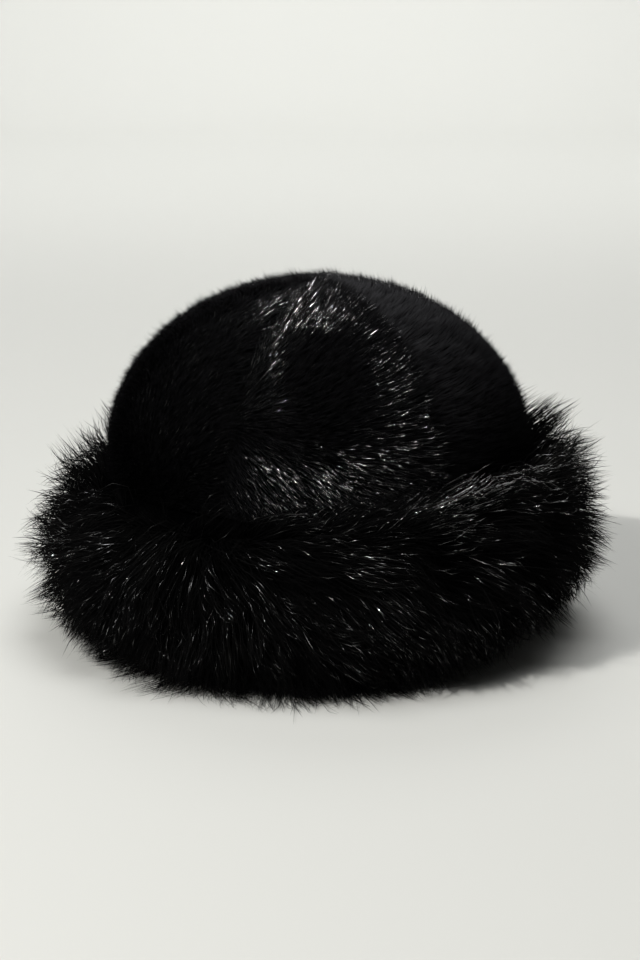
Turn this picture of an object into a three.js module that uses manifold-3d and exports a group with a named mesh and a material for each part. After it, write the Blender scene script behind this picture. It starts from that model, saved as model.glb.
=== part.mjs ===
import * as THREE from "three";
import { mergeVertices } from "three/addons/utils/BufferGeometryUtils.js";
import Module from "manifold-3d";

// A bucket hat in black faux fur. Six gores of short pile make a domed crown, and one
// band of long pile makes the steep brim, with its fur standing out in pointed locks.
// Millimetres, +Z up. The front faces -Y, and +X is the wearer's left. The hat stands on
// the hem of its brim, and the origin is the middle of that ring, on the surface.
// A turn is an angle round the hat in degrees: 0 is the front, and 90 is +X.

// The crown: sizes are to the outside of its pile, at the sides.
const CROWN_HALF_WIDTH = 102;
const OVAL = 1.045; // front-to-back size over side-to-side size, of all rings
const CROWN_WALL = 10; // cloth and pile together
const CROWN_BASE = 74; // height of the edge that is sewn to the brim
const DOME_BASE = 86.5; // height of the crown's widest ring
const DOME_HEIGHT = 80.5; // from that ring to the top
const SEAM_GAP = 0.3; // between two pieces that are sewn together
const SEAM_VALLEY = 2.6; // depth of the groove over a seam between two gores
const VALLEY_SHARPNESS = 6; // the power of the groove's shape, higher for a narrower groove
const TUFT_RELIEF = 0.9; // height of the short pile's tufts over their mean
const TUFT_LEAN = 2.2; // how far a tuft's crest is combed round the crown
const BASE_BLEND = 0.16; // share of a gore's length over which its lower edge stays plain

// How each gore differs: swell is how far its middle stands out, and crest how far its
// upper end does. The first row is the front gore, and the others follow towards +X.
const FRONT_GORE_TURN = 4;
const GORES = [
  { swell: 0.6, crest: 0.2 },
  { swell: 1.3, crest: 1.4 },
  { swell: 0.4, crest: 0.6 },
  { swell: 0.9, crest: 0.9 },
  { swell: 0.2, crest: 0.1 },
  { swell: 0.9, crest: 1.1 },
];
const GORE_ANGLE = 360 / GORES.length;
const GORE_COLUMNS = 10; // faces across a gore
const GORE_ROWS = 14; // faces from its lower edge to the top

// The brim's padded band, cut across: points go round the section from the ledge that
// carries the crown. lift is each point's share of the shoulder's tilt, and wave its
// share of the band's slow waves.
const BAND = [
  { radius: CROWN_HALF_WIDTH - CROWN_WALL, height: CROWN_BASE - SEAM_GAP, lift: 0, wave: 0 },
  { radius: 99.5, height: 44, lift: 0, wave: 0 },
  { radius: 106, height: 15, lift: 0, wave: 0.3 },
  { radius: 109, height: 0, lift: 0, wave: 0.5 },
  { radius: 119, height: 0, lift: 0, wave: 0.8 },
  { radius: 123.5, height: 9, lift: 0, wave: 1 },
  { radius: 125, height: 27, lift: 0.1, wave: 1 },
  { radius: 123.5, height: 47, lift: 0.5, wave: 1 },
  { radius: 119, height: 65, lift: 0.9, wave: 0.7 },
  { radius: 112, height: 76, lift: 1, wave: 0.3 },
  { radius: CROWN_HALF_WIDTH + SEAM_GAP, height: 77, lift: 0.25, wave: 0 },
  { radius: CROWN_HALF_WIDTH + SEAM_GAP, height: CROWN_BASE - SEAM_GAP, lift: 0, wave: 0 },
];
const BAND_STEPS = 60;
const SHOULDER_TILT = 8; // how much higher the shoulder is than its mean, on its high side
const HIGH_SIDE_TURN = 100;
const WAVES = [
  { count: 2, depth: 1.2, turn: 20 },
  { count: 4, depth: 0.8, turn: -12 },
];

// The rows of locks, from the crown down. radius and height place a row's roots in the
// band, reach is a lock's length from there, rise is its angle above the horizontal, swirl
// is how far it is combed round the hat (towards +X at the front), droop is how far its
// tip hangs below a straight line, and lift is its share of the shoulder's tilt.
const LOCK_ROWS = [
  { radius: 115, height: 68, reach: 21, rise: 50, swirl: 40, droop: 0, locks: 24, lift: 1 },
  { radius: 116, height: 62, reach: 25, rise: 26, swirl: 46, droop: 2, locks: 26, lift: 0.9 },
  { radius: 117, height: 51, reach: 26, rise: 5, swirl: 42, droop: 3, locks: 26, lift: 0.6 },
  { radius: 118, height: 38, reach: 25, rise: -10, swirl: 30, droop: 3, locks: 26, lift: 0.3 },
  { radius: 118, height: 25, reach: 24, rise: -20, swirl: 22, droop: 3, locks: 26, lift: 0.1 },
  { radius: 116, height: 13.5, reach: 22, rise: -16, swirl: 15, droop: 3, locks: 26, lift: 0 },
];
const LOCK_WIDTH = 12; // half the width of a lock's root, along the row
const LOCK_DEPTH = 7; // half its depth, across the row
const LOCK_SIDES = 4;
const LOCK_RINGS = 2;
const LOCK_FULLNESS = 0.66; // a lock's width at half its length, as a share of its root's
const LOWEST_TIP = 1.5; // no tip hangs lower than this

// How much a lock differs from its row, at most either way.
const LOCK_JITTER = { turn: 3, rise: 9, swirl: 16, reach: 2.2, height: 1.6 };
const JITTER_SEED = 7;

const PILE_BLACK = new THREE.Color(0.014, 0.014, 0.015);

const radians = THREE.MathUtils.degToRad;
const smooth = THREE.MathUtils.smoothstep;

// The point at a radius (measured at the sides), a turn and a height.
function around(radius, turn, height) {
  const angle = radians(turn);
  return new THREE.Vector3(radius * Math.sin(angle), -radius * OVAL * Math.cos(angle), height);
}

// A repeatable row of numbers from -1 to 1.
function jitterFrom(seed) {
  const draw = new THREE.Vector2(seed, seed * 0.37);
  return () => {
    draw.x += 1;
    const wave = Math.sin(draw.x * 127.1 + draw.y * 311.7) * 43758.5453;
    return 2 * (wave - Math.floor(wave)) - 1;
  };
}

// Only the positions of a geometry, with shared vertices merged and flat faces dropped.
function bare(geometry) {
  geometry.deleteAttribute("normal");
  geometry.deleteAttribute("uv");
  const merged = mergeVertices(geometry, 1e-4);
  const kept = [];
  for (let i = 0; i < merged.index.count; i += 3) {
    const face = [0, 1, 2].map((corner) => merged.index.getX(i + corner));
    if (new Set(face).size === 3) kept.push(...face);
  }
  merged.setIndex(kept);
  return merged;
}

// Moves every vertex of a geometry to where a function of its old place puts it.
function reshape(geometry, placed) {
  const positions = geometry.getAttribute("position");
  const old = new THREE.Vector3();
  for (let i = 0; i < positions.count; i += 1) {
    old.fromBufferAttribute(positions, i);
    const point = placed(old);
    positions.setXYZ(i, point.x, point.y, point.z);
  }
  return geometry;
}

// Where the crown's outer or inner side lies. rise goes from 0 at the lower edge to 1 at
// the top, and across from -1 to 1 between a gore's two seams.
function crownPoint(gore, across, rise, isOutside) {
  const halfWidth = CROWN_HALF_WIDTH - (isOutside ? 0 : CROWN_WALL);
  const domeHeight = DOME_HEIGHT - (isOutside ? 0 : CROWN_WALL);
  const gap = SEAM_GAP / 2;
  const tipRadius = gap / Math.sin(radians(GORE_ANGLE / 2));
  const wallLength = DOME_BASE - CROWN_BASE;
  const wallShare = wallLength / (wallLength + (domeHeight + halfWidth) * 0.8);
  const bend = Math.max(0, (rise - wallShare) / (1 - wallShare)) * Math.acos(tipRadius / halfWidth);
  let radius = halfWidth * Math.cos(bend);
  let height = DOME_BASE + domeHeight * Math.sin(bend);
  if (rise < wallShare) height = CROWN_BASE + (wallLength * rise) / wallShare;

  let lean = 0;
  if (isOutside) {
    const free = smooth(rise, 0, BASE_BLEND) * smooth(1 - rise, 0, 0.05);
    const middle = 1 - across * across;
    const swell = gore.swell * Math.sin(Math.PI * rise) + gore.crest * smooth(rise, 0.6, 0.95);
    const valley = SEAM_VALLEY * Math.abs(across) ** VALLEY_SHARPNESS;
    const inside = smooth(1 - Math.abs(across), 0, 0.15);
    const column = Math.round(((across + 1) * GORE_COLUMNS) / 2);
    const row = Math.round(rise * GORE_ROWS);
    const tuft = inside * ((column + row) % 2 === 0 ? 1 : -1);
    const out = free * (swell * middle - valley + TUFT_RELIEF * tuft);
    radius += out * Math.cos(bend);
    height += out * Math.sin(bend);
    lean = free * tuft * TUFT_LEAN * Math.cos(bend);
  }
  radius = Math.max(radius, tipRadius);
  const halfAngle = radians(GORE_ANGLE / 2) - Math.asin(gap / radius);
  const turn = THREE.MathUtils.radToDeg(across * halfAngle + lean / halfWidth);
  return around(radius, gore.turn + turn, height);
}

// One gore of the crown: a curved wall with two seam edges, a lower edge and a point.
function goreGeometry(gore) {
  const block = bare(new THREE.BoxGeometry(2, 1, 1, GORE_COLUMNS, GORE_ROWS, 1));
  reshape(block, (p) => crownPoint(gore, p.x, p.y + 0.5, p.z > 0));
  return bare(block);
}

function shoulderLift(turn) {
  return SHOULDER_TILT * Math.cos(radians(turn - HIGH_SIDE_TURN));
}

function bandWave(turn) {
  return WAVES.reduce(
    (sum, wave) => sum + wave.depth * Math.cos(radians(wave.count * (turn - wave.turn))),
    0,
  );
}

// The band of the brim: its section swept round, closed on itself.
function bandGeometry() {
  const positions = [];
  const faces = [];
  for (let step = 0; step < BAND_STEPS; step += 1) {
    const turn = (step * 360) / BAND_STEPS + FRONT_GORE_TURN;
    for (const spot of BAND) {
      const radius = spot.radius + spot.wave * bandWave(turn);
      const height = spot.height + spot.lift * shoulderLift(turn);
      positions.push(...around(radius, turn, height).toArray());
    }
    for (let i = 0; i < BAND.length; i += 1) {
      const next = (i + 1) % BAND.length;
      const here = step * BAND.length;
      const there = ((step + 1) % BAND_STEPS) * BAND.length;
      faces.push(here + i, there + next, here + next, here + i, there + i, there + next);
    }
  }
  const band = new THREE.BufferGeometry();
  band.setAttribute("position", new THREE.Float32BufferAttribute(positions, 3));
  band.setIndex(faces);
  return band;
}

// One lock of long pile: a cone bent along its run, wide along the row and pointed.
function lockGeometry(row, turn, own) {
  const rise = radians(row.rise + own.rise);
  const swirl = radians(row.swirl + own.swirl);
  const angle = radians(turn);
  const outward = new THREE.Vector3(Math.sin(angle), -Math.cos(angle), 0);
  const sideways = new THREE.Vector3(Math.cos(angle), Math.sin(angle), 0);
  const upward = new THREE.Vector3(0, 0, 1);
  const along = new THREE.Vector3()
    .addScaledVector(outward, Math.cos(rise) * Math.cos(swirl))
    .addScaledVector(sideways, Math.cos(rise) * Math.sin(swirl))
    .addScaledVector(upward, Math.sin(rise));
  const wide = new THREE.Vector3().crossVectors(upward, along).normalize();
  const deep = new THREE.Vector3().crossVectors(along, wide).normalize();
  const height = row.height + own.height + row.lift * shoulderLift(turn);
  const root = around(row.radius + bandWave(turn), turn, height);
  const reach = row.reach + own.reach;

  const cone = bare(new THREE.ConeGeometry(1, 1, LOCK_SIDES, LOCK_RINGS));
  return reshape(cone, (p) => {
    const share = p.y + 0.5;
    const taper = share > 0.25 && share < 0.75 ? LOCK_FULLNESS / (1 - share) : 1;
    const point = root
      .clone()
      .addScaledVector(along, reach * share)
      .addScaledVector(upward, -row.droop * share * share)
      .addScaledVector(wide, -p.x * taper * LOCK_WIDTH)
      .addScaledVector(deep, p.z * taper * LOCK_DEPTH);
    point.z = Math.max(point.z, LOWEST_TIP);
    return point;
  });
}

// All locks. Each has a twin half a turn round the hat, which keeps the brim centred.
function lockGeometries() {
  const jitter = jitterFrom(JITTER_SEED);
  const locks = [];
  LOCK_ROWS.forEach((row, number) => {
    const spacing = 360 / row.locks;
    for (let i = 0; i < row.locks / 2; i += 1) {
      const own = {
        rise: jitter() * LOCK_JITTER.rise,
        swirl: jitter() * LOCK_JITTER.swirl,
        reach: jitter() * LOCK_JITTER.reach,
        height: jitter() * LOCK_JITTER.height,
      };
      const turn = (i + (number % 2) / 2) * spacing + jitter() * LOCK_JITTER.turn;
      locks.push(lockGeometry(row, turn, own), lockGeometry(row, turn + 180, own));
    }
  });
  return locks;
}

function solidOf(wasm, geometry) {
  return new wasm.Manifold(
    new wasm.Mesh({
      numProp: 3,
      vertProperties: new Float32Array(geometry.getAttribute("position").array),
      triVerts: new Uint32Array(geometry.index.array),
    }),
  );
}

function geometryOf(solid) {
  const mesh = solid.getMesh();
  const geometry = new THREE.BufferGeometry();
  geometry.setAttribute("position", new THREE.BufferAttribute(mesh.vertProperties, 3));
  geometry.setIndex(new THREE.BufferAttribute(mesh.triVerts, 1));
  return geometry;
}

// The brim: the band with every lock fused to it.
function brimGeometry(wasm) {
  const band = solidOf(wasm, bandGeometry());
  return geometryOf(
    lockGeometries().reduce((whole, lock) => whole.add(solidOf(wasm, lock)), band),
  );
}

function piece(name, geometry, roughness) {
  const material = new THREE.MeshStandardMaterial({ color: PILE_BLACK, roughness, metalness: 0 });
  const mesh = new THREE.Mesh(geometry, material);
  mesh.name = name;
  return mesh;
}

const wasm = await Module();
wasm.setup();

const hat = new THREE.Group();
GORES.forEach((gore, number) => {
  const turned = { ...gore, turn: FRONT_GORE_TURN + number * GORE_ANGLE };
  hat.add(piece(`crown_gore_${number + 1}`, goreGeometry(turned), 0.5));
});
hat.add(piece("fur_brim", brimGeometry(wasm), 0.6));

export default hat;
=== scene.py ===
from math import atan2, cos, pi, radians, sin

import bmesh
import bpy
import numpy as np
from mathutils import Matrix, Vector
from mathutils.kdtree import KDTree


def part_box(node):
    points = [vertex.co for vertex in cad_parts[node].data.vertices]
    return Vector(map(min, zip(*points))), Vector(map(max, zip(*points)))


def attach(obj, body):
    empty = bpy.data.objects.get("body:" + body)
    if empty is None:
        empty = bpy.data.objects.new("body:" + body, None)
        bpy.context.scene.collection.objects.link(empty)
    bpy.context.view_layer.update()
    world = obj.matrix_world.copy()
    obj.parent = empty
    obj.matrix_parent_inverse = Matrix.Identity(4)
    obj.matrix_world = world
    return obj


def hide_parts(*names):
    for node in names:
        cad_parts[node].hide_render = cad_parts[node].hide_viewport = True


# A bucket hat in black faux fur: six gores of short pile, and a brim of long pile.
# Metres, +Z up. The front faces -Y. A turn is an angle round the hat in degrees from the
# front, towards +X. Every hair is a thin closed needle, and the hairs of a piece are one
# joined mesh.

MM = 0.001
OVAL = 1.045  # front-to-back size over side-to-side size
GORE_COUNT = 6
GORE_ANGLE = 360 / GORE_COUNT
FRONT_GORE_TURN = 4  # the turn of the front gore's middle
SEAM_GAP = 0.3 * MM
SAME_PLACE = 0.01 * MM  # two points nearer than this are one
FLOOR_CLEARANCE = 0.5 * MM
TIP_CLEARANCE = 0.8 * MM  # how much more a hair's tip keeps from the floor than its root

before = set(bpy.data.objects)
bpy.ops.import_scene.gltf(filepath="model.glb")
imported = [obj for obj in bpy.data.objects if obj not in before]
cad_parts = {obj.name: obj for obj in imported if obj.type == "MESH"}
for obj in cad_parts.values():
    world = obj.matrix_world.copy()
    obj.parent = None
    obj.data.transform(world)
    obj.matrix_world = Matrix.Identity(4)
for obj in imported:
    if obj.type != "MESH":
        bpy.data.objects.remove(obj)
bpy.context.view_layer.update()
gore_boxes = [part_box(f"crown_gore_{number + 1}") for number in range(GORE_COUNT)]

# The crown, to the outside of its pile, as the frame has it.
CROWN_BASE = gore_boxes[0][0][2]
CROWN_TOP = max(box[1][2] for box in gore_boxes)
CROWN_LEFT = min(box[0][0] for box in gore_boxes)
CROWN_RIGHT = max(box[1][0] for box in gore_boxes)
CROWN_HALF_WIDTH = (CROWN_RIGHT - CROWN_LEFT) / 2
TUFT_HEIGHT = 2.2 * MM  # from the dome to the frame's highest tuft
DOME_BASE = CROWN_BASE + 12.5 * MM  # the crown is upright below it
DOME_HEIGHT = CROWN_TOP - DOME_BASE - TUFT_HEIGHT
DOME_PATH = 1.5  # the way up the dome, over its height
CLOTH_DEPTH = 1.4 * MM  # from the outside of the pile to its dense foot
CROWN_CLOTH = 7.5 * MM  # the cloth and the dense foot of its pile
SEAM_DIP = 2.2 * MM  # the depth of the groove over a seam
SEAM_SHARPNESS = 6  # higher for a narrower groove
DOME_COLUMNS = 120
DOME_ROWS = 60
SHARP_EDGE = 50  # degrees, the angle from which a cloth's edge shows

# The brim's cloth, cut across from the hem up to the crown, in mm. The shoulder's lift acts
# on each row by its own share.
BRIM_OUTLINE = [
    {"radius": 111.0, "height": 0.6, "lift": 0.0},
    {"radius": 115.5, "height": 5.0, "lift": 0.0},
    {"radius": 118.0, "height": 16.0, "lift": 0.0},
    {"radius": 119.0, "height": 30.0, "lift": 0.1},
    {"radius": 118.0, "height": 44.0, "lift": 0.4},
    {"radius": 115.0, "height": 57.0, "lift": 0.8},
    {"radius": 110.5, "height": 66.0, "lift": 1.0},
    {"radius": 104.5, "height": 70.5, "lift": 0.8},
]
BRIM_INSIDE = [
    {"radius": 99.5, "height": 74.2, "lift": 0.0},
    {"radius": 94.5, "height": 74.2, "lift": 0.0},
    {"radius": 99.5, "height": 46.0, "lift": 0.0},
    {"radius": 105.5, "height": 16.0, "lift": 0.0},
    {"radius": 109.5, "height": 0.6, "lift": 0.0},
]
BRIM_COLUMNS = 120
UNLIFTED_RADIUS = 100 * MM  # the shoulder's lift leaves what lies within it
BAND_RADIUS = 110 * MM  # of the brim's band at about half its height
BAND_HEIGHT = 70 * MM
KNIT_TOP = 58 * MM  # the knit shows inside the brim up to here

SHOULDER_TILT = 8 * MM  # how much higher the brim's shoulder is on its high side
HIGH_SIDE_TURN = 100
SHOULDER_RAISE = 3 * MM

# Each stretch round the brim has its middle at a turn, and fades out over its reach.
SHOULDER_SWELL = {"turn": 48, "reach": 60, "rise": 7 * MM}  # where the fur is swept round
RAISED_HEM = {"turn": 58, "reach": 70, "rise": 16, "top": 50}  # in mm, to nothing at its top
DRAWN_IN = [
    {"turn": 65, "reach": 85, "tuck": 16, "shorter": 0.65},
    {"turn": -75, "reach": 60, "tuck": 9.6, "shorter": 0.5},
]
TUCK_TOP = 42  # mm, the height up to which the brim is drawn in
TUCK_CURVE = 1.5  # higher for a tuck that keeps nearer to the hem
SHORTER_SIDES = [
    {"turn": 90, "reach": 60, "shorter": 0.28},
    {"turn": -90, "reach": 60, "shorter": 0.16},
]
STRAGGLING_FRONT = {"turn": 0, "reach": 70}
# The fur on the brim's far right is painted paler, as a painted sheen where the light catches it
# from the side.
PAINTED_SHEEN_SIDE = {"turn": 85, "reach": 45, "paler": 0.6}

# How the crown's pile is combed. A nap is the way the hairs lie, in degrees above a level
# line towards +X, a lean is how far they lie over from upright, and shine is the share of
# glossy hairs. Each patch has its middle at a turn and a rise up the crown, and fades out
# over its reach. Where no patch is strong, the plain comb shows.
PLAIN_WEIGHT = 0.25
PLAIN_NAP = 4
PLAIN_LEAN = {"front": 44, "others": 64}
PATCHES = {
    0: [
        {"turn": -14, "rise": 0.79, "reach": (24, 0.10), "nap": 50, "lean": 57, "shine": 0.95},
        {"turn": -24, "rise": 0.63, "reach": (8, 0.10), "nap": 54, "lean": 68, "shine": 0.8},
        {"turn": -21, "rise": 0.44, "reach": (7, 0.12), "nap": 48, "lean": 80, "shine": 0.4},
        {"turn": -18, "rise": 0.20, "reach": (8, 0.15), "nap": -50, "lean": 79, "shine": 0.5},
        {"turn": 26, "rise": 0.50, "reach": (8, 0.24), "nap": 0, "lean": 50, "shine": 0.2},
        {"turn": 23, "rise": 0.18, "reach": (10, 0.13), "nap": -14, "lean": 50, "shine": 0.26},
        {"turn": 0, "rise": 0.13, "reach": (18, 0.09), "nap": -36, "lean": 63, "shine": 0.5},
    ],
    5: [
        {"turn": -37, "rise": 0.79, "reach": (12, 0.10), "nap": 54, "lean": 72, "shine": 0.6},
        {"turn": -50, "rise": 0.30, "reach": (14, 0.25), "nap": 40, "lean": 60, "shine": 0.05},
    ],
}
GORE_SHINE = [0.006, 0.0, 0.1, 0.1, 0.1, 0.02]  # the share of glossy hairs outside the patches
SHINE_SCALE = 1.15  # over the blend of the patches
GLOSSY_POLISH = (0.7, 1.0)
DULL_POLISH = 0.1
ROOT_POLISH = 0.3  # over the tip's
# Painted sheen: the outer parts of a gore's hairs are painted paler towards its top, where the
# light catches them.
GORE_PAINTED_SHEEN = [0.068, 1.462, 0.68, 0.68, 0.68, 0.17]  # how much paler a gore's hairs are at the top
PAINTED_SHEEN_SPREAD = (0.6, 1.4)
PAINTED_SHEEN_PATCHES = {"swing": 0.35, "limits": (0.3, 1.7)}

CROWN_PILE = {
    "count": 18000,  # on a gore
    "length": 6.6 * MM,
    "length_spread": 0.22,
    "width": 0.12 * MM,
    "width_spread": 0.25,
    "glossy_wider": 0.25,
    "root_depth": 0.4 * MM,
    "nap_swing": 6,
    "nap_spread": 6,
    "lean_swing": 3,
    "lean_spread": 4,
    "fuzz": 0.14,  # the share of hairs that stand up more
    "fuzz_lean": 0.55,
    "hairs_per_tuft": 22,
    "tuft_pull": 0.35,
    "tuft_pull_spread": (0.3, 1.0),
    "shade": 0.14,
    "crimp": 0.06,
    "bow": 0.08,
}

# How the brim's long fur is combed, from the hem (share 0) up to the crown (share 1).
# A rise is in degrees above level. The fur fans out from the band at the front and at the
# sides. On the front right it is swept round instead, to a course given as a turn. The
# lengths are over the coat's own.
BRIM_COMB = [
    {"share": 0.00, "front": -6, "sides": -8, "swept": -10, "course": 26, "length": 1.22},
    {"share": 0.10, "front": -18, "sides": -22, "swept": -26, "course": 30, "length": 1.15},
    {"share": 0.22, "front": -42, "sides": -42, "swept": -46, "course": 38, "length": 1.00},
    {"share": 0.36, "front": -51, "sides": -38, "swept": -44, "course": 50, "length": 1.00},
    {"share": 0.50, "front": -52, "sides": -20, "swept": -36, "course": 62, "length": 1.00},
    {"share": 0.65, "front": -52, "sides": 0, "swept": -18, "course": 76, "length": 1.00},
    {"share": 0.78, "front": -48, "sides": 24, "swept": 14, "course": 84, "length": 1.00},
    {"share": 0.88, "front": -34, "sides": 40, "swept": 24, "course": 85, "length": 1.00},
    {"share": 0.94, "front": 10, "sides": 52, "swept": 26, "course": 85, "length": 0.95},
    {"share": 1.00, "front": 66, "sides": 62, "swept": 29, "course": 86, "length": 0.80},
]
FRONT_REACH = (25, 80)  # the turns between which the front's comb gives way to the sides'
SWEPT_TURNS = (-52, 12, 95, 140)  # where the sweep begins, is full, weakens and ends
COURSE_DRIFT = {"turn": 60, "share": 0.35}  # past this turn the course goes round too
STIR = {"wave": 36, "fine_wave": 32, "hair": 16}  # degrees to the side
LIFT = {"wave": 24, "hair": 13}  # degrees up
SWEPT_CALM = 0.5  # how much less the swept fur follows the waves
STREAK_CALM = 0.7  # how much less the streak's single hairs stray
LEAST_RISE = 0.25  # how far the fur always stands off the band
STREAK = {"turn": 29, "share": 0.93, "reach": (19, 0.11), "shine": 0.8}  # glossier, calmer fur
SHADE = {"turn": 48, "share": 0.66, "reach": (42, 0.22), "shine": -0.97}  # duller fur under it

# The brim's two coats. The stations are the shares of a hair's length at its points.
GUARD_HAIR = {
    "name": "guard_hair",
    "count": 10000,  # on half the brim
    "stations": (0, 0.5, 0.78, 1),
    "length": 33 * MM,
    "width": 0.13 * MM,
    "gather": 0.72,
    "hairs_per_lock": 26,
    "shine": 0.9,
    "seed": 0,
}
UNDERCOAT = {
    "name": "undercoat",
    "count": 24000,
    "stations": (0, 1),
    "length": 18 * MM,
    "width": 0.15 * MM,
    "gather": 0.6,
    "hairs_per_lock": 40,
    "shine": 0.02,
    "seed": 50,
}
BRIM_FUR = {
    "root_depth": 0.6 * MM,
    "low_share": 0.55,  # the lower part of the brim, strongest at the hem
    "length_swing": 0.14,
    "length_spread": 0.14,
    "bend": 0.28,
    "bend_spread": 0.1,
    "gather_spread": (0.6, 1.0),
    "hair_shade": 0.6,
    "lock_shade": 0.4,
    "width_spread": 0.2,
    "glossy_wider": 1.5,
    "streak_thinner": 1.1,
    "crimp": 0.12,
    "bow": 0.24,
    "streak_bow": -0.14,
}
STRAY = {
    "share": 0.05,
    "front_share": 0.07,
    "longer": 1.08,
    "front_longer": 0.13,
    "pull": 0.1,
}
BRIM_SHINE = {
    "mean": 0.9,
    "swing": 1.4,
    "limits": (0.1, 3),
    "lowest_tip": 6 * MM,  # no hair that ends lower is glossy
    "dull": (0.0, 0.02),
    "glossy": (0.97, 1.0),
    "streak": 0.98,
}
BRIM_HALVES = [
    {"name": "front", "first_turn": -90, "seed": 900},
    {"name": "back", "first_turn": 90, "seed": 1900},
]

# Slow waves that vary the fur from place to place.
WAVES = {
    "nap": {"length": 26 * MM, "seed": 11},
    "lean": {"length": 18 * MM, "seed": 12},
    "painted_sheen": {"length": 13 * MM, "seed": 13},
    "stir": {"length": 21 * MM, "seed": 21},
    "fine_stir": {"length": 10 * MM, "seed": 25},
    "lift": {"length": 16 * MM, "seed": 22},
    "hair_length": {"length": 30 * MM, "seed": 23},
    "shine": {"length": 22 * MM, "seed": 24},
}
WAVE_PARTS = 5
WAVE_HEIGHT = 2.6  # what the parts together seldom pass
WAVE_STRETCH = (0.7, 1.5)

# Seeds of the crown's draws, to which a gore's number is added.
PLACE_SEED = 100
COMB_SEED = 300
PILE_SEED = 500

TRIES = 4  # places drawn for each hair
LARGE_AREA = 0.98  # the quantile of areas from which a place is always kept
TURN_STEP = 0.1  # degrees
SHARE_STEP = 1e-3
LOCK_CURVE = 1.3  # higher for locks that close nearer to their tips
NEEDLE_SIDES = 3
NEEDLE_TAPER = 0.55

WARM_WHITE = (1, 0.985, 0.96)
LIGHTS = [
    {
        "name": "key",
        "place": (-1.2, -1.1, 1.5),
        "target": (0, 0, 0.08),
        "size": 0.3,
        "power": 12,
        "colour": WARM_WHITE,
    },
    {
        "name": "key_centre",
        "place": (-1.2, -1.1, 1.5),
        "target": (0, 0, 0.08),
        "size": 0.06,
        "power": 24,
        "colour": WARM_WHITE,
    },
    {"name": "top", "place": (0.3, 0.2, 2.4), "target": (0, 0.2, 0), "size": 1.6, "power": 27},
    {"name": "back", "place": (0, 1.6, 1.7), "target": (0, 1.5, 0), "size": 1.2, "power": 10.5},
    {
        "name": "wall_left",
        "place": (-1.3, 1.2, 1.4),
        "target": (-0.1, 2.3, 0.3),
        "size": 0.8,
        "power": 3,
        "spread": 90,
    },
    {
        "name": "wall_right",
        "place": (1.3, 1.2, 1.4),
        "target": (0.1, 2.3, 0.3),
        "size": 0.8,
        "power": 3,
        "spread": 90,
    },
]


# Helpers


def deselect_all():
    if bpy.context.object and bpy.context.object.mode != "OBJECT":
        bpy.ops.object.mode_set(mode="OBJECT")
    bpy.ops.object.select_all(action="DESELECT")


def select_where(piece, test):
    bpy.ops.mesh.select_all(action="DESELECT")
    shape = bmesh.from_edit_mesh(piece.data)
    for vertex in shape.verts:
        vertex.select = test(vertex.co)
    shape.select_flush(True)
    bmesh.update_edit_mesh(piece.data)


def column(table, name):
    return np.array([row[name] for row in table], dtype=float)


def along_table(table, key, value, name):
    """A column's value for each value of the key, straight between the table's rows."""
    return np.interp(value, column(table, key), column(table, name))


def comb(share, name):
    """A column of the brim's comb at each share."""
    return along_table(BRIM_COMB, "share", share, name)


def along_curve(points, share):
    """Places on a smooth curve through the points, for shares from 0 to 1."""
    points = np.asarray(points, dtype=float)
    last = len(points) - 1
    place = np.clip(share, 0, 1) * last
    step = np.minimum(place.astype(int), last - 1)
    t = (place - step)[:, None]
    before = points[np.maximum(step - 1, 0)]
    start = points[step]
    end = points[step + 1]
    after = points[np.minimum(step + 2, last)]
    return 0.5 * (
        2 * start
        + (end - before) * t
        + (2 * before - 5 * start + 4 * end - after) * t**2
        + (3 * start - before - 3 * end + after) * t**3
    )


def unit(vectors):
    length = np.linalg.norm(vectors, axis=1, keepdims=True)
    return vectors / np.maximum(length, 1e-12)


def squared(vectors, heading):
    """The vectors turned square to a heading."""
    return unit(vectors - heading * np.sum(vectors * heading, axis=1, keepdims=True))


def eased(share):
    """The share from 0 to 1, levelling off at both ends."""
    return share**2 * (3 - 2 * share)


def wrapped(turn):
    """The same turn, from -180 to 180."""
    return (turn + 180) % 360 - 180


def near(turn, stretch):
    """1 at the stretch's middle, fading to 0 at its reach on either side."""
    away = np.abs(wrapped(turn - stretch["turn"]))
    return eased(np.clip(1 - away / stretch["reach"], 0, 1))


def summed(stretches, turn, name):
    """The named values of all stretches at a turn, each faded out over its reach."""
    return sum(stretch[name] * near(turn, stretch) for stretch in stretches)


def spot(turn, share, place):
    """A change in shine around one place on the brim."""
    across = (wrapped(turn) - place["turn"]) / place["reach"][0]
    up = (share - place["share"]) / place["reach"][1]
    return place["shine"] * np.exp(-(across**2) - up**2)


def wander(points, name):
    """A slow wave over space, from about -1 to 1."""
    wave = WAVES[name]
    draw = np.random.default_rng(wave["seed"])
    total = np.zeros(len(points))
    for _ in range(WAVE_PARTS):
        direction = draw.normal(size=3)
        direction /= np.linalg.norm(direction)
        stretch = draw.uniform(*WAVE_STRETCH)
        start = draw.uniform(0, 2 * pi)
        total += np.sin(points @ direction * 2 * pi * stretch / wave["length"] + start)
    return total / WAVE_HEIGHT


# The two surfaces that the fur grows on. Each takes turns in degrees and shares from the
# lower edge (0) to the upper (1), and gives places in metres.


def ring(radius, turn, height):
    angle = np.radians(turn)
    return np.stack(
        [radius * np.sin(angle), -radius * OVAL * np.cos(angle), height], axis=1
    )


def seam_dip(turn, rise):
    """How deep the groove over the seams is, at a rise from 0 to 1 up the crown."""
    nearness = np.abs(((turn - FRONT_GORE_TURN) / GORE_ANGLE + 0.5) % 1.0 * 2 - 1)
    return SEAM_DIP * nearness**SEAM_SHARPNESS * np.sin(pi * np.clip(rise, 0, 1)) ** 0.5


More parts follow.
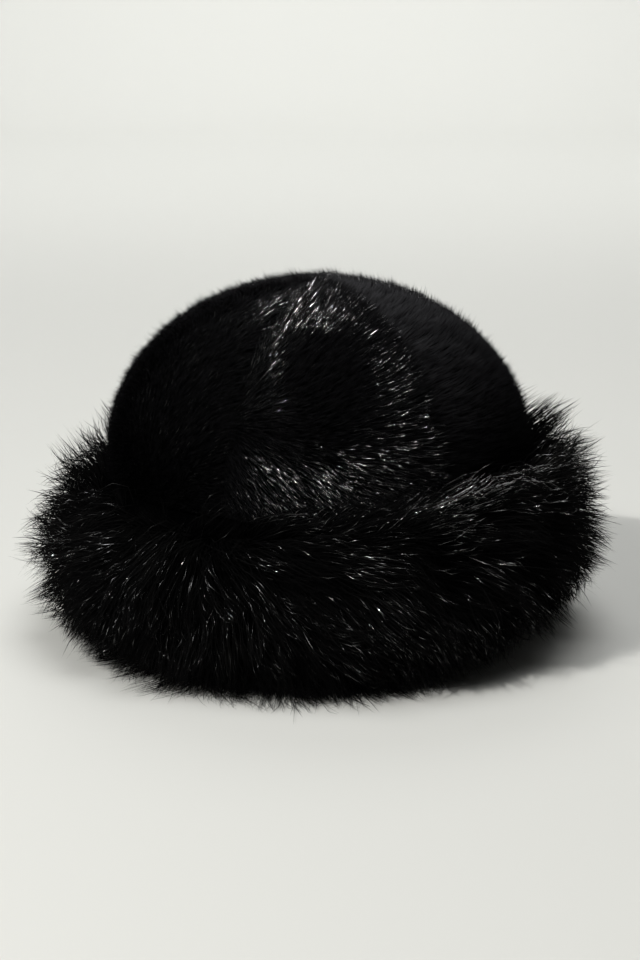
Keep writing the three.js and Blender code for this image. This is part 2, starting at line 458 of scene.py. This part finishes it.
def crown_surface(turn, share):
    half_width = CROWN_HALF_WIDTH - CLOTH_DEPTH
    dome_height = DOME_HEIGHT - CLOTH_DEPTH
    upright = DOME_BASE - CROWN_BASE
    upright_share = upright / (upright + dome_height * DOME_PATH)
    bend = np.clip((share - upright_share) / (1 - upright_share), 0, 1) * pi / 2
    height = np.where(
        share < upright_share,
        CROWN_BASE + upright * share / upright_share,
        DOME_BASE + dome_height * np.sin(bend),
    )
    dip = seam_dip(turn, share)
    radius = half_width * np.cos(bend) - dip * np.cos(bend)
    return ring(radius, turn, height - dip * np.sin(bend))


def shoulder_lift(turn):
    tilt = SHOULDER_TILT * np.cos(np.radians(turn - HIGH_SIDE_TURN))
    return SHOULDER_RAISE + tilt + SHOULDER_SWELL["rise"] * near(turn, SHOULDER_SWELL)


def hem_tuck(turn, height):
    """How far in the brim is drawn, in mm, at a height in mm."""
    low = np.clip(1 - height / TUCK_TOP, 0, 1)
    return summed(DRAWN_IN, turn, "tuck") * low**TUCK_CURVE


def hem_raise(turn, height):
    """How far the brim's lower part is raised, in mm, at a height in mm."""
    low = np.clip(1 - height / RAISED_HEM["top"], 0, 1)
    return RAISED_HEM["rise"] * near(turn, RAISED_HEM) * low


def brim_surface(turn, share):
    outline = [column(BRIM_OUTLINE, name) for name in ("radius", "height", "lift")]
    radius, height, lift = along_curve(np.stack(outline, axis=1), share).T
    drawn_in = (radius - hem_tuck(turn, height)) * MM
    raised_height = (height + hem_raise(turn, height)) * MM
    return ring(drawn_in, turn, raised_height + lift * shoulder_lift(turn))


def step_up(surface, turn, share):
    """A short step up the surface at each place."""
    high = surface(turn, np.clip(share + SHARE_STEP, 0, 1))
    return high - surface(turn, np.clip(share - SHARE_STEP, 0, 1))


def frames_on(surface, turn, share):
    """Places on the surface, and the outward, east and north directions there."""
    east = unit(surface(turn + TURN_STEP, share) - surface(turn - TURN_STEP, share))
    normal = unit(np.cross(east, unit(step_up(surface, turn, share))))
    north = unit(np.cross(normal, east))
    return surface(turn, share), normal, east, north


def scattered(surface, turns, count, seed):
    """Turns and shares of places spread evenly over a stretch of a surface."""
    draw = np.random.default_rng(seed)
    tries = count * TRIES
    turn = draw.uniform(*turns, tries)
    share = draw.uniform(0, 1, tries)
    step_east = surface(turn + TURN_STEP, share) - surface(turn, share)
    area = np.linalg.norm(np.cross(step_east, step_up(surface, turn, share)), axis=1)
    chance = area / np.quantile(area, LARGE_AREA)
    kept = np.flatnonzero(draw.uniform(size=tries) < chance)[:count]
    return turn[kept], share[kept]


# Hairs


def varied(draw, count, spread):
    """Factors around 1, one for each hair."""
    return 1 + spread * draw.normal(size=count)


def gathered(paths, centre_paths, strength):
    """Draws the tips of hairs together with the nearest centre hair, as in a lock."""
    tree = KDTree(len(centre_paths))
    for i, root in enumerate(centre_paths[:, 0]):
        tree.insert(root, i)
    tree.balance()
    nearest = np.array([tree.find(root)[1] for root in paths[:, 0]])
    centre = centre_paths[nearest]
    points = paths.shape[1]
    pulled = paths.copy()
    for k in range(1, points):
        pull = strength[:, None] * (k / (points - 1)) ** LOCK_CURVE
        pulled[:, k] = paths[:, k] * (1 - pull) + centre[:, k] * pull
    return pulled, nearest


def clear_of_floor(paths):
    low = FLOOR_CLEARANCE + TIP_CLEARANCE * np.linspace(0, 1, paths.shape[1])[None, :]
    paths[:, :, 2] = np.maximum(paths[:, :, 2], low)
    return paths


def shading_runs(paths, outward, crimp, bow, seed):
    """The way each hair seems to run at each of its points, bowed, with a little crimp."""
    draw = np.random.default_rng(seed)
    steps = paths.shape[1] - 1
    pieces = [unit(paths[:, k + 1] - paths[:, k]) for k in range(steps)]
    runs = [pieces[0]]
    runs += [unit(pieces[k - 1] + pieces[k]) for k in range(1, steps)]
    runs.append(pieces[-1])
    bow = np.broadcast_to(bow, len(paths))[:, None]
    over = [bow * (1 - 2 * k / steps) for k in range(steps + 1)]
    runs = [run + squared(outward, run) * tilt for run, tilt in zip(runs, over)]
    return [unit(run + crimp * draw.normal(size=run.shape)) for run in runs]


def needle_points(paths, stations, outward, width, runs):
    """The points of the needles round the hairs, and normals that shade them as round."""
    steps = paths.shape[1] - 1
    draw = np.random.default_rng(len(paths))
    start = unit(paths[:, 1] - paths[:, 0])
    helper = np.where(np.abs(start[:, 2:3]) > 0.9, [[1.0, 0, 0]], [[0, 0, 1.0]])
    side = squared(helper, start)
    spin = draw.uniform(0, 2 * pi, len(paths))
    points, normals = [], []
    for k in range(steps):
        heading = unit(paths[:, k + 1] - paths[:, max(k - 1, 0)])
        across = squared(side, heading)
        over = np.cross(heading, across)
        taper = (1 - stations[k]) ** NEEDLE_TAPER
        for j in range(NEEDLE_SIDES):
            angle = spin + j * 2 * pi / NEEDLE_SIDES
            around = across * np.cos(angle)[:, None] + over * np.sin(angle)[:, None]
            points.append(paths[:, k] + around * (width * taper)[:, None])
            normals.append(squared(around, runs[k]))
    points.append(paths[:, steps])
    normals.append(squared(outward, runs[steps]))
    return np.stack(points, axis=1), np.stack(normals, axis=1)


def needle_faces(steps):
    """The corners of a needle's faces in one list, and the size of each face."""
    corners, sizes = [], []
    for k in range(steps - 1):
        for j in range(NEEDLE_SIDES):
            low = NEEDLE_SIDES * k + j
            after = NEEDLE_SIDES * k + (j + 1) % NEEDLE_SIDES
            corners += [low, after, after + NEEDLE_SIDES, low + NEEDLE_SIDES]
            sizes.append(4)
    last = NEEDLE_SIDES * (steps - 1)
    tip = NEEDLE_SIDES * steps
    for j in range(NEEDLE_SIDES):
        corners += [last + j, last + (j + 1) % NEEDLE_SIDES, tip]
        sizes.append(3)
    corners += reversed(range(NEEDLE_SIDES))
    sizes.append(NEEDLE_SIDES)
    return corners, sizes


def add_number(mesh, name, values):
    layer = mesh.attributes.new(name, "FLOAT", "POINT")
    layer.data.foreach_set("value", np.asarray(values, dtype=np.float32))


def needle_mesh(name, paths, stations, outward, width, crimp, bow, shade, polish):
    """Makes one mesh of closed needles, shaded as if they were round.

    The stations are the shares of a hair's length at which its points lie. The width and
    the shade have one value for a hair, and the polish has one for each of its points.
    """
    count = len(paths)
    steps = len(stations) - 1
    runs = shading_runs(paths, outward, crimp, bow, count + 1)
    points, normals = needle_points(paths, stations, outward, width, runs)
    per_hair = points.shape[1]
    corners, sizes = needle_faces(steps)
    hairs = np.arange(count)[:, None]
    loop_vertices = (np.array(corners)[None, :] + hairs * per_hair).ravel()
    face_starts = np.concatenate([[0], np.cumsum(sizes)[:-1]])
    loop_starts = (face_starts[None, :] + hairs * len(corners)).ravel()

    mesh = bpy.data.meshes.new(name)
    mesh.vertices.add(count * per_hair)
    mesh.vertices.foreach_set("co", points.reshape(-1))
    mesh.loops.add(len(loop_vertices))
    mesh.loops.foreach_set("vertex_index", loop_vertices.astype(np.int32))
    mesh.polygons.add(len(loop_starts))
    mesh.polygons.foreach_set("loop_start", loop_starts.astype(np.int32))
    mesh.polygons.foreach_set("use_smooth", np.ones(len(loop_starts), dtype=bool))
    mesh.update(calc_edges=True)
    round_shading = mesh.attributes.new("custom_normal", "FLOAT_VECTOR", "POINT")
    round_shading.data.foreach_set("vector", normals.astype(np.float32).ravel())

    sides = [NEEDLE_SIDES] * steps + [1]  # how many of a needle's points each station has
    add_number(mesh, "along", np.tile(np.repeat(stations, sides), count))
    add_number(mesh, "shade", np.repeat(shade, per_hair))
    add_number(mesh, "polish", np.repeat(polish, sides, axis=1).ravel())
    piece = bpy.data.objects.new(name, mesh)
    bpy.context.scene.collection.objects.link(piece)
    return piece


# Crown


def combed(number, turn, rise):
    """The nap, lean and gloss of the hairs at places on a gore, and their painted sheen, paler
    towards the top.
    """
    draw = np.random.default_rng(COMB_SEED + number)
    total = np.full(len(turn), PLAIN_WEIGHT)
    nap = total * PLAIN_NAP
    lean = total * PLAIN_LEAN["front" if number == 0 else "others"]
    shine = total * GORE_SHINE[number]
    turn = wrapped(turn)
    for patch in PATCHES.get(number, []):
        wide, high = patch["reach"]
        across = (turn - patch["turn"]) / wide
        up = (rise - patch["rise"]) / high
        weight = np.exp(-(across**2) - up**2)
        total += weight
        nap += weight * patch["nap"]
        lean += weight * patch["lean"]
        shine += weight * patch["shine"]
    nap, lean, shine = nap / total, lean / total, shine / total
    glossy = draw.uniform(size=len(turn)) < shine * SHINE_SCALE
    bright = np.where(glossy, draw.uniform(*GLOSSY_POLISH, len(turn)), DULL_POLISH)
    polish = np.stack([ROOT_POLISH * bright, bright], axis=1)
    painted_sheen = GORE_PAINTED_SHEEN[number] * rise**2 * draw.uniform(*PAINTED_SHEEN_SPREAD, len(turn))
    return nap, lean, glossy, polish, painted_sheen


def crown_pile(number):
    """The short pile of a gore, lying along its nap in small tufts."""
    hair = CROWN_PILE
    middle = FRONT_GORE_TURN + number * GORE_ANGLE
    turns = (middle - GORE_ANGLE / 2, middle + GORE_ANGLE / 2)
    draw = np.random.default_rng(PILE_SEED + number)
    turn, share = scattered(crown_surface, turns, hair["count"], PLACE_SEED + number)
    here, normal, east, north = frames_on(crown_surface, turn, share)
    count = len(turn)
    nap, lean, glossy, polish, painted_sheen = combed(number, turn, share)
    # The painted sheen varies in slow blotches over the gore.
    patchy = 1 + PAINTED_SHEEN_PATCHES["swing"] * wander(here, "painted_sheen")
    painted_sheen *= np.clip(patchy, *PAINTED_SHEEN_PATCHES["limits"])
    nap += hair["nap_swing"] * wander(here, "nap")
    nap += hair["nap_spread"] * draw.normal(size=count)
    lean += hair["lean_swing"] * wander(here, "lean")
    lean += hair["lean_spread"] * draw.normal(size=count)
    fuzz = draw.uniform(size=count) < hair["fuzz"]
    nap = np.radians(nap)[:, None]
    lean = (np.radians(lean) * np.where(fuzz, hair["fuzz_lean"], 1))[:, None]
    length = hair["length"] * varied(draw, count, hair["length_spread"])
    roots = here - normal * hair["root_depth"]
    way = east * np.cos(nap) + north * np.sin(nap)
    heading = normal * np.cos(lean) + way * np.sin(lean)
    paths = np.stack([roots, roots + heading * length[:, None]], axis=1)
    tufts = draw.choice(count, count // hair["hairs_per_tuft"], replace=False)
    pull = hair["tuft_pull"] * draw.uniform(*hair["tuft_pull_spread"], count)
    paths, _ = gathered(paths, paths[tufts], pull)
    width = hair["width"] * varied(draw, count, hair["width_spread"])
    width *= 1 + hair["glossy_wider"] * glossy
    # The outer part of each hair is paler partly by its own random tone and partly by the painted
    # sheen.
    shade = np.clip(hair["shade"] * draw.uniform(size=count) + painted_sheen, 0, 1)
    return needle_mesh(
        f"gore_{number + 1}_pile",
        paths,
        (0, 1),
        normal,
        width,
        hair["crimp"],
        hair["bow"],
        shade,
        polish,
    )


def press_seams(cloth):
    centre_height = 0.9 * DOME_BASE
    path_height = 1.1 * DOME_HEIGHT
    for vertex in cloth.data.vertices:
        place = vertex.co
        turn = np.degrees(atan2(place.x * OVAL, -place.y))
        rise = (place.z - CROWN_BASE) / path_height
        out = Vector((place.x, place.y, place.z - centre_height)).normalized()
        vertex.co = place - out * float(seam_dip(turn, rise))


def gore_cloth(number):
    """A gore's cloth: part of a dome, cut at its two seams, given its wall."""
    deselect_all()
    half_width = CROWN_HALF_WIDTH - CLOTH_DEPTH
    dome_height = DOME_HEIGHT - CLOTH_DEPTH
    bpy.ops.mesh.primitive_uv_sphere_add(segments=DOME_COLUMNS, ring_count=DOME_ROWS, radius=1)
    cloth = bpy.context.object
    cloth.name = f"gore_{number + 1}_cloth"
    bpy.ops.object.mode_set(mode="EDIT")
    bpy.ops.mesh.select_all(action="SELECT")
    bpy.ops.transform.resize(value=(half_width, half_width * OVAL, dome_height))
    bpy.ops.transform.translate(value=(0, 0, DOME_BASE))
    bpy.ops.mesh.bisect(
        plane_co=(0, 0, DOME_BASE), plane_no=(0, 0, 1), clear_inner=True
    )
    select_where(cloth, lambda co: co.z < DOME_BASE + SAME_PLACE)
    bpy.ops.mesh.extrude_region_move(
        TRANSFORM_OT_translate={"value": (0, 0, CROWN_BASE - DOME_BASE)}
    )
    middle = FRONT_GORE_TURN + number * GORE_ANGLE
    for side in (-1, 1):
        angle = radians(middle + side * GORE_ANGLE / 2)
        away = Vector((cos(angle) * OVAL, sin(angle), 0)) * side
        away.normalize()
        bpy.ops.mesh.select_all(action="SELECT")
        bpy.ops.mesh.bisect(
            plane_co=-away * SEAM_GAP / 2, plane_no=away, clear_outer=True
        )
    bpy.ops.mesh.select_all(action="SELECT")
    bpy.ops.mesh.normals_make_consistent(inside=False)
    bpy.ops.object.mode_set(mode="OBJECT")
    press_seams(cloth)
    wall = cloth.modifiers.new("wall", "SOLIDIFY")
    wall.thickness = CROWN_CLOTH
    wall.offset = -1
    bpy.ops.object.modifier_apply(modifier="wall")
    bpy.ops.object.shade_smooth_by_angle(angle=radians(SHARP_EDGE))
    return cloth


# Brim


def brim_cloth():
    """The brim's band: its cross section, spun round the hat."""
    deselect_all()
    section = BRIM_OUTLINE + BRIM_INSIDE
    bpy.ops.mesh.primitive_circle_add(vertices=len(section), radius=1)
    cloth = bpy.context.object
    cloth.name = "brim_cloth"
    for vertex, row in zip(cloth.data.vertices, section):
        vertex.co = (row["radius"] * MM, 0, row["height"] * MM)
    bpy.ops.object.mode_set(mode="EDIT")
    bpy.ops.mesh.select_all(action="SELECT")
    bpy.ops.mesh.spin(
        steps=BRIM_COLUMNS, angle=2 * pi, center=(0, 0, 0), axis=(0, 0, 1), use_normal_flip=False
    )
    bpy.ops.mesh.select_all(action="SELECT")
    bpy.ops.mesh.remove_doubles(threshold=SAME_PLACE)
    bpy.ops.mesh.normals_make_consistent(inside=False)
    bpy.ops.object.mode_set(mode="OBJECT")
    for vertex in cloth.data.vertices:
        place = vertex.co
        radius = (place.x**2 + place.y**2) ** 0.5
        turn = np.degrees(atan2(place.x, -place.y))
        height = place.z / MM
        lift = along_table(BRIM_OUTLINE, "height", height, "lift")
        if radius < UNLIFTED_RADIUS:
            lift = 0
        drawn_in = 1 - hem_tuck(turn, height) * MM / radius
        place.x *= drawn_in
        place.y *= drawn_in * OVAL
        place.z += lift * float(shoulder_lift(turn)) + float(hem_raise(turn, height)) * MM
    smooth = cloth.modifiers.new("smooth", "SUBSURF")
    smooth.levels = 1
    smooth.render_levels = 1
    bpy.ops.object.modifier_apply(modifier="smooth")
    bpy.ops.object.shade_smooth()
    return cloth


def level_way(turn):
    """The level direction straight out of the hat at a turn."""
    angle = np.radians(turn)
    return np.stack([np.sin(angle), -np.cos(angle), np.zeros(len(turn))], axis=1)


def raised(way, rise):
    """A level direction raised by an angle in degrees."""
    rise = np.radians(rise)
    heading = way * np.cos(rise)[:, None]
    heading[:, 2] += np.sin(rise)
    return heading


def brim_headings(turn, share, normal, seed):
    """The way the fur runs at each place on the brim."""
    draw = np.random.default_rng(seed)
    turn = wrapped(turn)
    side = np.interp(np.abs(turn), FRONT_REACH, (0, 1))
    swept = eased(np.interp(turn, SWEPT_TURNS, (0, 1, 1, 0)))
    place = level_way(turn) * BAND_RADIUS
    place[:, 2] = share * BAND_HEIGHT
    loose = 1 - SWEPT_CALM * swept
    calm = 1 - STREAK_CALM * spot(turn, share, STREAK)
    stir = STIR["wave"] * wander(place, "stir") + STIR["fine_wave"] * wander(place, "fine_stir")
    stir = loose * stir + STIR["hair"] * calm * draw.normal(size=len(turn))
    lift = loose * LIFT["wave"] * wander(place, "lift")
    lift = lift + LIFT["hair"] * calm * draw.normal(size=len(turn))
    front = comb(share, "front")
    fan_rise = front + (comb(share, "sides") - front) * side + lift
    fan = raised(level_way(turn + stir), fan_rise)
    drift = COURSE_DRIFT["share"] * np.maximum(turn - COURSE_DRIFT["turn"], 0)
    course = comb(share, "course") + drift
    round_hat = raised(level_way(course + stir), comb(share, "swept") + lift)
    heading = unit(fan * (1 - swept[:, None]) + round_hat * swept[:, None])
    sunk = np.maximum(LEAST_RISE - np.sum(heading * normal, axis=1), 0)
    return unit(heading + normal * sunk[:, None])


def brim_lengths(coat, draw, here, turn, share):
    """The length of each hair, and which hairs stray from their lock."""
    count = len(turn)
    low = np.clip(1 - share / BRIM_FUR["low_share"], 0, 1)
    length = coat["length"] * (1 - low * summed(DRAWN_IN, turn, "shorter"))
    length *= comb(share, "length")
    length *= 1 - summed(SHORTER_SIDES, turn, "shorter")
    swing = BRIM_FUR["length_swing"] * wander(here, "hair_length")
    length *= swing + varied(draw, count, BRIM_FUR["length_spread"])
    straggling = low * near(turn, STRAGGLING_FRONT)
    stray = draw.uniform(size=count) < STRAY["share"] + STRAY["front_share"] * straggling
    longer = STRAY["longer"] + STRAY["front_longer"] * straggling
    return np.where(stray, length * longer, length), stray


def bent_paths(roots, normal, heading, length, bend, stations):
    """The points of hairs that leave the band steeply and bend over along their heading."""
    paths = [roots]
    for start, end in zip(stations, stations[1:]):
        over = bend * (1 - start - end)
        ahead = unit(heading + normal * over[:, None])
        paths.append(paths[-1] + ahead * (length * (end - start))[:, None])
    return np.stack(paths, axis=1)


def brim_polish(coat, draw, here, turn, share, streak, tip_height):
    """Which hairs are glossy, which of them are so all along, and the gloss at each point."""
    count = len(turn)
    points = len(coat["stations"])
    patchy = BRIM_SHINE["mean"] + BRIM_SHINE["swing"] * wander(here, "shine")
    patchy = np.clip(patchy, *BRIM_SHINE["limits"]) * (1 + spot(turn, share, SHADE))
    glossy = draw.uniform(size=count) < coat["shine"] * patchy + streak
    glossy &= tip_height > BRIM_SHINE["lowest_tip"]
    dull = draw.uniform(*BRIM_SHINE["dull"], count)
    polish = np.repeat(dull[:, None], points, axis=1)
    bright_point = draw.integers(min(1, points - 2), points, count)
    bright = draw.uniform(*BRIM_SHINE["glossy"], count)
    polish[np.arange(count), bright_point] = np.where(glossy, bright, dull)
    all_along = glossy & (draw.uniform(size=count) < streak)
    polish[all_along, 1:] = BRIM_SHINE["streak"]
    return glossy, all_along, polish


def brim_fur(half, coat):
    """One coat of half the brim, with its hairs drawn together in locks."""
    fur = BRIM_FUR
    seed = half["seed"] + coat["seed"]
    draw = np.random.default_rng(seed)
    turns = (half["first_turn"], half["first_turn"] + 180)
    turn, share = scattered(brim_surface, turns, coat["count"], seed + 1)
    here, normal, _, _ = frames_on(brim_surface, turn, share)
    count = len(turn)
    heading = brim_headings(turn, share, normal, seed + 2)
    length, stray = brim_lengths(coat, draw, here, turn, share)
    bend = fur["bend"] + fur["bend_spread"] * draw.normal(size=count)
    roots = here - normal * fur["root_depth"]
    paths = bent_paths(roots, normal, heading, length, bend, coat["stations"])
    locks = draw.choice(count, count // coat["hairs_per_lock"], replace=False)
    pull = coat["gather"] * draw.uniform(*fur["gather_spread"], count)
    paths, nearest = gathered(paths, paths[locks], np.where(stray, STRAY["pull"], pull))
    paths = clear_of_floor(paths)
    shade = fur["hair_shade"] * draw.uniform(size=count)
    shade += fur["lock_shade"] * draw.uniform(size=len(locks))[nearest]
    # Random tone per hair and per lock, and on the far right a painted sheen.
    shade = np.clip(shade + PAINTED_SHEEN_SIDE["paler"] * near(turn, PAINTED_SHEEN_SIDE), 0, 1)
    streak = spot(turn, share, STREAK)
    glossy, all_along, polish = brim_polish(
        coat, draw, here, turn, share, streak, paths[:, -1, 2]
    )
    width = coat["width"] * varied(draw, count, fur["width_spread"])
    width *= 1 + fur["glossy_wider"] * glossy - fur["streak_thinner"] * all_along
    return needle_mesh(
        f"brim_{coat['name']}_{half['name']}",
        paths,
        coat["stations"],
        normal,
        width,
        fur["crimp"],
        fur["bow"] + fur["streak_bow"] * streak,
        shade,
        polish,
    )


# Materials


def new_material(name):
    material = bpy.data.materials.new(name)
    material.use_nodes = True
    nodes = material.node_tree.nodes
    nodes.clear()
    output = nodes.new("ShaderNodeOutputMaterial")
    shader = nodes.new("ShaderNodeBsdfPrincipled")
    material.node_tree.links.new(shader.outputs["BSDF"], output.inputs["Surface"])
    return material, shader


def attribute(tree, name):
    """The output of a number stored on the mesh."""
    node = tree.nodes.new("ShaderNodeAttribute")
    node.attribute_name = name
    return node.outputs["Fac"]


def maths(tree, operation, first, second):
    """The output of a sum over two other outputs."""
    node = tree.nodes.new("ShaderNodeMath")
    node.operation = operation
    tree.links.new(first, node.inputs[0])
    tree.links.new(second, node.inputs[1])
    return node.outputs[0]


def fur_tint():
    """Colour and gloss of a hair, from root to tip and from hair to hair. The root colour is
    painted darker, as the shade deep in the fur, and the stored shade makes the outer part paler,
    by a hair's random tone and by painted sheen.
    """
    group = bpy.data.node_groups.new("fur_tint", "ShaderNodeTree")
    for name, way, kind in (
        ("Root Colour", "INPUT", "NodeSocketColor"),
        ("Tip Colour", "INPUT", "NodeSocketColor"),
        ("Root Gloss", "INPUT", "NodeSocketFloat"),
        ("Gloss Fall", "INPUT", "NodeSocketFloat"),
        ("Colour", "OUTPUT", "NodeSocketColor"),
        ("Gloss", "OUTPUT", "NodeSocketFloat"),
    ):
        group.interface.new_socket(name, in_out=way, socket_type=kind)
    nodes, links = group.nodes, group.links
    given = nodes.new("NodeGroupInput").outputs
    made = nodes.new("NodeGroupOutput").inputs
    along = attribute(group, "along")
    colour = nodes.new("ShaderNodeMix")
    colour.data_type = "RGBA"
    pale = maths(group, "MULTIPLY", along, attribute(group, "shade"))
    links.new(pale, colour.inputs["Factor"])
    links.new(given["Root Colour"], colour.inputs["A"])
    links.new(given["Tip Colour"], colour.inputs["B"])
    links.new(colour.outputs["Result"], made["Colour"])
    outer = nodes.new("ShaderNodeMapRange")
    outer.inputs["From Max"].default_value = 0.5
    links.new(along, outer.inputs["Value"])
    links.new(given["Root Gloss"], outer.inputs["To Min"])
    glint = maths(group, "POWER", attribute(group, "polish"), given["Gloss Fall"])
    gloss = maths(group, "MULTIPLY", outer.outputs["Result"], glint)
    links.new(gloss, made["Gloss"])
    return group


def fur_material(name, tint, root, tip, root_gloss, gloss_fall, roughness, ior):
    """Dark matt hairs under a glossy coat that shows in glints."""
    material, shader = new_material(name)
    nodes, links = material.node_tree.nodes, material.node_tree.links
    group = nodes.new("ShaderNodeGroup")
    group.node_tree = tint
    group.inputs["Root Colour"].default_value = (*root, 1)
    group.inputs["Tip Colour"].default_value = (*tip, 1)
    group.inputs["Root Gloss"].default_value = root_gloss
    group.inputs["Gloss Fall"].default_value = gloss_fall
    links.new(group.outputs["Colour"], shader.inputs["Base Color"])
    links.new(group.outputs["Gloss"], shader.inputs["Coat Weight"])
    shader.inputs["Coat Roughness"].default_value = roughness
    shader.inputs["Coat IOR"].default_value = ior
    shader.inputs["Roughness"].default_value = 0.6
    shader.inputs["Specular IOR Level"].default_value = 0
    return material


def cloth_material(name, dark, light, gloss):
    """A fine cloth grain between two colours."""
    material, shader = new_material(name)
    nodes, links = material.node_tree.nodes, material.node_tree.links
    place = nodes.new("ShaderNodeTexCoord")
    grain = nodes.new("ShaderNodeTexNoise")
    grain.inputs["Scale"].default_value = 900
    links.new(place.outputs["Object"], grain.inputs["Vector"])
    ramp = nodes.new("ShaderNodeValToRGB")
    ramp.color_ramp.elements[0].color = (*dark, 1)
    ramp.color_ramp.elements[1].color = (*light, 1)
    links.new(grain.outputs["Fac"], ramp.inputs["Fac"])
    links.new(ramp.outputs["Color"], shader.inputs["Base Color"])
    bump = nodes.new("ShaderNodeBump")
    bump.inputs["Strength"].default_value = 0.5
    bump.inputs["Distance"].default_value = 0.3 * MM
    links.new(grain.outputs["Fac"], bump.inputs["Height"])
    links.new(bump.outputs["Normal"], shader.inputs["Normal"])
    shader.inputs["Roughness"].default_value = 0.9
    shader.inputs["Specular IOR Level"].default_value = gloss
    return material


def floor_material():
    material, shader = new_material("pale_floor")
    shader.inputs["Base Color"].default_value = (0.69, 0.695, 0.663, 1)
    shader.inputs["Roughness"].default_value = 0.8
    return material


def line_with_knit(piece, knit, foot, inner_radius, top):
    """Gives the cloth its knit inside, and outside the black foot of the pile, painted darker
    still as the shade deep in the pile.
    """
    centre_height = 0.8 * DOME_BASE
    facing_in = -0.35
    piece.data.materials.append(foot)
    piece.data.materials.append(knit)
    for face in piece.data.polygons:
        centre = face.center
        flat = Vector((centre.x, centre.y / OVAL, 0))
        outward = Vector((centre.x, centre.y, centre.z - centre_height)).normalized()
        inside = flat.length < inner_radius and centre.z < top
        if inside and face.normal.dot(outward) < facing_in:
            face.material_index = 1


# Stage


def floor_and_backdrop():
    """A pale floor that sweeps up into a wall behind the hat."""
    width, depth, middle = 9, 5.2, -0.6
    bend_steps, bend_radius, wall_height = 16, 0.6, 2.6
    deselect_all()
    bpy.ops.mesh.primitive_plane_add(size=1)
    sweep = bpy.context.object
    sweep.name = "floor"
    bpy.ops.object.mode_set(mode="EDIT")
    bpy.ops.mesh.select_all(action="SELECT")
    bpy.ops.transform.resize(value=(width, depth, 1))
    bpy.ops.transform.translate(value=(0, middle, 0))
    select_where(sweep, lambda co: co.y > middle)
    for step in range(bend_steps):
        start = step / bend_steps * pi / 2
        end = (step + 1) / bend_steps * pi / 2
        back = bend_radius * (sin(end) - sin(start))
        up = bend_radius * (cos(start) - cos(end))
        bpy.ops.mesh.extrude_region_move(TRANSFORM_OT_translate={"value": (0, back, up)})
    bpy.ops.mesh.extrude_region_move(TRANSFORM_OT_translate={"value": (0, 0, wall_height)})
    bpy.ops.object.mode_set(mode="OBJECT")
    bpy.ops.object.shade_smooth()
    sweep.data.materials.append(floor_material())


def area_light(name, place, target, size, power, colour=(1, 1, 1), spread=180):
    light = bpy.data.lights.new(name, "AREA")
    light.shape = "DISK"
    light.size = size
    light.energy = power
    light.color = colour
    light.spread = radians(spread)
    lamp = bpy.data.objects.new(name, light)
    lamp.location = place
    lamp.rotation_euler = (Vector(target) - Vector(place)).to_track_quat("-Z", "Y").to_euler()
    bpy.context.scene.collection.objects.link(lamp)


def studio_light():
    for light in LIGHTS:
        area_light(**light)
    world = bpy.data.worlds.new("studio")
    world.use_nodes = True
    background = world.node_tree.nodes["Background"]
    background.inputs["Color"].default_value = (1, 1, 1, 1)
    background.inputs["Strength"].default_value = 0.03
    bpy.context.scene.world = world
    bpy.context.scene.view_settings.view_transform = "Standard"


def camera():
    lens = 100
    sensor = 36
    image_height = 960
    pixels_per_metre = 2060
    elevation = radians(14)
    aim = Vector((0.0005, 0, 0.068))
    distance = lens / sensor * image_height / pixels_per_metre
    data = bpy.data.cameras.new("camera")
    data.lens = lens
    data.sensor_width = sensor
    eye = bpy.data.objects.new("camera", data)
    eye.location = aim + Vector((0, -cos(elevation), sin(elevation))) * distance
    eye.rotation_euler = (aim - eye.location).to_track_quat("-Z", "Y").to_euler()
    bpy.context.scene.collection.objects.link(eye)
    bpy.context.scene.camera = eye


# Putting the hat together

tint = fur_tint()
knit = cloth_material("black_knit_backing", (0.004, 0.004, 0.0043), (0.010, 0.010, 0.0105), 0.2)
# The pile's foot: black cloth, painted darker still than the knit as the shade deep among the
# hairs.
foot = cloth_material("pile_foot_painted_shade", (0.0004, 0.0004, 0.0005), (0.0008, 0.0008, 0.0009), 0)
# Both furs are painted darker towards the roots, as the shade deep in the fur; the crown's tip
# colour is pale for its painted sheen.
pile = fur_material(
    "crown_pile",
    tint,
    root=(0.003, 0.003, 0.0033),
    tip=(0.06, 0.06, 0.064),
    root_gloss=0.5,
    gloss_fall=3,
    roughness=0.145,
    ior=4,
)
long_fur = fur_material(
    "brim_fur",
    tint,
    root=(0.002, 0.002, 0.0022),
    tip=(0.010, 0.0098, 0.0096),
    root_gloss=0.7,
    gloss_fall=9,
    roughness=0.105,
    ior=4,
)

for number in range(GORE_COUNT):
    base = gore_cloth(number)
    line_with_knit(base, knit, foot, CROWN_HALF_WIDTH, CROWN_TOP)
    hairs = crown_pile(number)
    hairs.data.materials.append(pile)
    for piece in (base, hairs):
        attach(piece, "root")
        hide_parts(f"crown_gore_{number + 1}")

band = brim_cloth()
line_with_knit(band, knit, foot, BAND_RADIUS, KNIT_TOP)
furs = [band]
for half in BRIM_HALVES:
    for coat in (GUARD_HAIR, UNDERCOAT):
        hairs = brim_fur(half, coat)
        hairs.data.materials.append(long_fur)
        furs.append(hairs)
for piece in furs:
    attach(piece, "root")
    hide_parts("fur_brim")

floor_and_backdrop()
studio_light()
camera()
